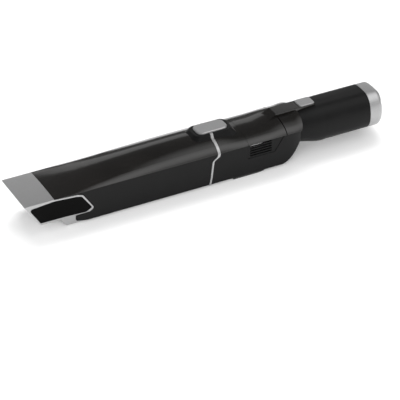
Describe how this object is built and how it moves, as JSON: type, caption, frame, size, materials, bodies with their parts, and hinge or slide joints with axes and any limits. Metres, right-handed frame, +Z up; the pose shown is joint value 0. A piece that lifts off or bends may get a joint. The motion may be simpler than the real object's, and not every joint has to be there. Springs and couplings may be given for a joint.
{
  "type": "handheld vacuum",
  "caption": "Straight cordless stick-style handheld vacuum with slanted nozzle, pull-off dust cup, release and power buttons, spinning fan and charging inlet.",
  "frame": {"origin": "under the middle of the bounding box, on the surface the vacuum rests on", "axes": "+X forward out of the nozzle, +Y to the user's left, +Z up"},
  "size_m": [0.424, 0.0582, 0.0547],
  "materials": {
    "silver_paint": "satin silver paint over plastic",
    "gloss_black": "glossy black moulded plastic",
    "matte_black": "fine textured matte black plastic",
    "insert_black": "deep matte black plastic",
    "inner_plastic": "dark grey moulded plastic",
    "impeller_plastic": "natural moulded plastic",
    "soft_rubber": "soft black rubber",
    "filter_paper": "pleated filter paper",
    "steel": "bare steel",
    "copper": "enamelled copper wire",
    "cell_wrap": "shrink-wrapped cell",
    "board_green": "circuit board",
    "part_black": "plastic of small electric parts",
    "lead_red": "insulated wire"
  },
  "bodies": {
    "motor_body": {"trim_ring": "silver_paint", "plinth_rear": "matte_black", "top_cover_front": "gloss_black", "top_cover_rear": "gloss_black", "collar_cover": "gloss_black", "top_strip": "gloss_black", "motor_housing": "matte_black", "housing_screws": "steel", "vent_grille_left": "matte_black", "vent_grille_right": "matte_black", "base_pad": "soft_rubber", "bulkhead": "inner_plastic", "cup_gasket": "soft_rubber", "handle_shell": "matte_black", "end_cap": "silver_paint", "cap_screws": "steel", "charge_socket": "part_black", "impeller_shroud": "inner_plastic", "diffuser": "inner_plastic", "motor_can": "steel", "motor_endbell": "steel", "stator_core": "steel", "stator_coils": "copper", "bearing_front": "steel", "bearing_rear": "steel", "mount_ring_front": "soft_rubber", "mount_ring_rear": "soft_rubber", "battery_frame_front": "inner_plastic", "battery_frame_rear": "inner_plastic", "battery_cell_1": "cell_wrap", "battery_cell_2": "cell_wrap", "battery_cell_3": "cell_wrap", "control_board": "board_green", "tact_switch": "part_black", "motor_leads": "lead_red", "release_spring": "steel"},
    "dust_cup": {"nozzle_shell": "silver_paint", "side_insert_left": "insert_black", "side_insert_right": "insert_black", "nozzle_screws": "steel", "cup_window": "gloss_black", "cup_shell": "matte_black", "plinth_front": "matte_black", "inlet_duct": "inner_plastic", "flap_pin": "steel"},
    "flap": {"inlet_flap": "soft_rubber"},
    "filter": {"filter_frame": "inner_plastic", "filter_pleats": "filter_paper", "prefilter_mesh": "steel", "filter_seal": "soft_rubber"},
    "release": {"release_button": "silver_paint", "latch_arm": "inner_plastic"},
    "power": {"power_button": "silver_paint"},
    "rotor": {"rotor_shaft": "steel", "rotor_core": "steel", "rotor_nut": "steel", "impeller": "impeller_plastic"}
  },
  "joints": [
    {"name": "cup_slide", "type": "slide", "parent": "motor_body", "child": "dust_cup", "axis": [1, 0, 0], "range_m": [0, 0.09]},
    {"name": "flap_hinge", "type": "hinge", "parent": "dust_cup", "child": "flap", "pos_m": [0.1274, 0, 0.0359], "axis": [0, 1, 0], "range_deg": [0, 70]},
    {"name": "filter_pull", "type": "slide", "parent": "motor_body", "child": "filter", "axis": [1, 0, 0], "range_m": [0, 0.04]},
    {"name": "release_press", "type": "slide", "parent": "motor_body", "child": "release", "axis": [0, 0, -1], "range_m": [0, 0.0016], "stiffness_N_per_m": 900, "springref_m": -0.001, "deforming": ["release_spring"]},
    {"name": "power_press", "type": "slide", "parent": "motor_body", "child": "power", "axis": [0, 0, -1], "range_m": [0, 0.0012], "stiffness_N_per_m": 900, "springref_m": -0.001},
    {"name": "fan_spin", "type": "hinge", "parent": "motor_body", "child": "rotor", "pos_m": [-0.06, 0, 0.0245], "axis": [1, 0, 0], "continuous": true}
  ]
}
